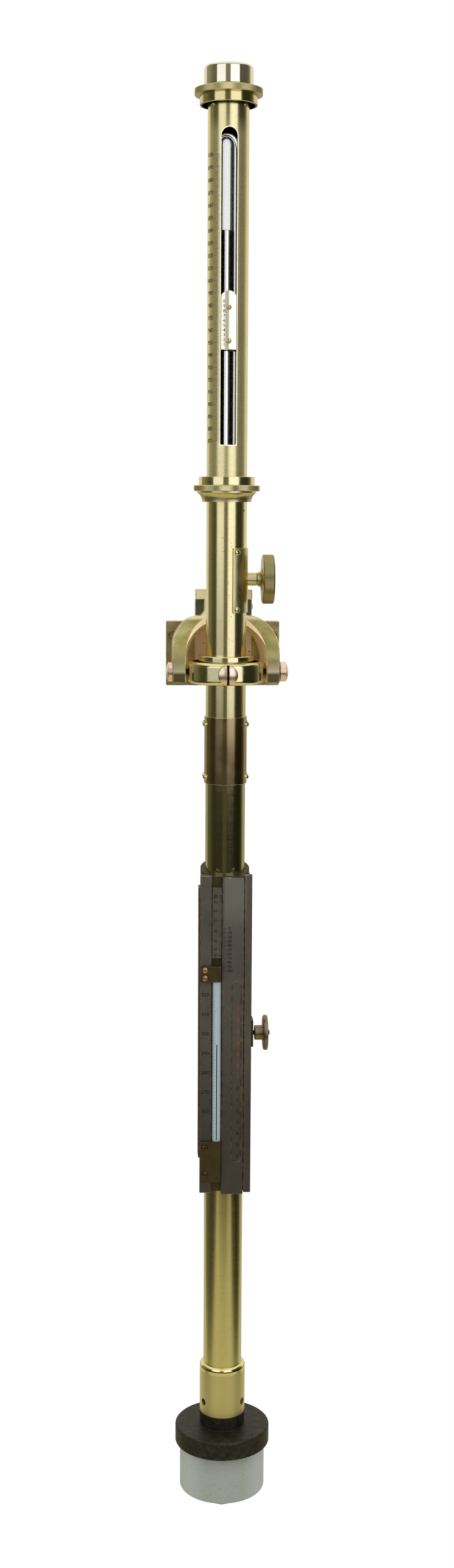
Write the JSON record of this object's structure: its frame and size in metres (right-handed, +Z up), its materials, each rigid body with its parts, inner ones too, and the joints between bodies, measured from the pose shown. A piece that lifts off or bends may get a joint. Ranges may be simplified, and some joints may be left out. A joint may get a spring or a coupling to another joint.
{
  "type": "marine barometer",
  "caption": "Ship's mercury barometer in a slotted brass tube with vernier, sliding correction scale, thermometer and cistern, hung in a gimbal from a wall bracket.",
  "frame": {"origin": "centre of the wall plate's back face", "axes": "+Z up along the hanging barometer, +Y into the wall, out of the plate's back face, +X to the right as seen from the front"},
  "size_m": [0.0769, 0.075, 0.9226],
  "materials": {
    "bracket_brass": "worn satin brass",
    "screw_brass": "bright machined brass",
    "copper_alloy": "turned copper-coloured alloy",
    "polished_brass": "polished brass",
    "tube_brass": "brushed lacquered brass",
    "dark_brass": "tarnished dark brass",
    "glass": "clear glass",
    "opal_glass": "opal-backed glass",
    "dark_thread": "dark liquid thread",
    "mercury": "liquid metal",
    "leather": "packing leather",
    "gunmetal": "oxidised gunmetal",
    "boxwood": "turned boxwood",
    "black_iron": "blackened iron",
    "grey_iron": "matt grey iron"
  },
  "bodies": {
    "wall_bracket": {"wall_plate": "bracket_brass", "socket_block": "bracket_brass", "lock_screw": "screw_brass"},
    "arm": {"suspension_arm": "bracket_brass", "arm_pivot_screws": "copper_alloy"},
    "gimbal": {"gimbal_ring": "polished_brass", "ring_pivot_screws": "copper_alloy"},
    "barometer": {"body_tube": "tube_brass", "gimbal_collar": "polished_brass", "top_cap": "polished_brass", "top_flange": "polished_brass", "top_pegs": "screw_brass", "scale_ring": "tube_brass", "scale_collar": "tube_brass", "name_sleeve": "dark_brass", "name_sleeve_screws": "screw_brass", "shaft_saddle": "polished_brass", "saddle_screws": "screw_brass", "glass_tube": "glass", "mercury_column": "mercury", "upper_packing": "leather", "lower_packing": "leather", "scale_body": "gunmetal", "body_clamp": "gunmetal", "left_strip": "gunmetal", "right_strip": "gunmetal", "side_cover": "gunmetal", "thermometer_stem": "opal_glass", "thermometer_thread": "dark_thread", "upper_clamp": "dark_brass", "lower_clamp": "dark_brass", "clamp_screws": "dark_brass", "slide_boss": "dark_brass", "ferrule": "tube_brass", "grub_screws": "dark_brass", "tube_bush": "boxwood", "cistern_cover": "black_iron", "cistern_washer": "leather", "cistern_cup": "grey_iron", "cistern_mercury": "mercury"},
    "vernier": {"vernier_carrier": "tube_brass", "vernier_plate": "polished_brass", "vernier_screws": "screw_brass", "vernier_rack": "tube_brass"},
    "vernier_drive": {"vernier_pinion": "tube_brass", "vernier_knob": "polished_brass", "vernier_knob_nut": "polished_brass"},
    "correction": {"correction_slide": "gunmetal", "slide_rack": "tube_brass"},
    "correction_drive": {"slide_pinion": "tube_brass", "slide_knob": "dark_brass", "slide_knob_screw": "screw_brass"},
    "latitude": {"latitude_plate": "gunmetal"}
  },
  "joints": [
    {"name": "arm_lift", "type": "slide", "parent": "wall_bracket", "child": "arm", "axis": [0, 0, 1], "range_m": [0, 0.06]},
    {"name": "ring_swing", "type": "hinge", "parent": "arm", "child": "gimbal", "pos_m": [0, -0.044, -0.0084], "axis": [1, 0, 0], "range_deg": [-4, 4]},
    {"name": "barometer_swing", "type": "hinge", "parent": "gimbal", "child": "barometer", "pos_m": [0, -0.044, -0.0084], "axis": [0, 1, 0], "range_deg": [-10, 10]},
    {"name": "vernier_slide", "type": "slide", "parent": "barometer", "child": "vernier", "axis": [0, 0, 1], "range_m": [-0.054, 0.0925]},
    {"name": "vernier_knob_turn", "type": "hinge", "parent": "barometer", "child": "vernier_drive", "pos_m": [0.0258, -0.044, 0.0493], "axis": [1, 0, 0], "range_deg": [-900, 1500]},
    {"name": "correction_slide_move", "type": "slide", "parent": "barometer", "child": "correction", "axis": [0, 0, 1], "range_m": [-0.017, 0.047]},
    {"name": "correction_knob_turn", "type": "hinge", "parent": "barometer", "child": "correction_drive", "pos_m": [0.026, -0.0582, -0.2376], "axis": [1, 0, 0], "range_deg": [-900, 330]},
    {"name": "latitude_slide", "type": "slide", "parent": "barometer", "child": "latitude", "axis": [0, 0, 1], "range_m": [-0.004, 0.004]}
  ],
  "couplings": [
    {"joint": "vernier_knob_turn", "follows": "vernier_slide", "rad_per_m": 277.78},
    {"joint": "correction_knob_turn", "follows": "correction_slide_move", "rad_per_m": -333.33}
  ]
}
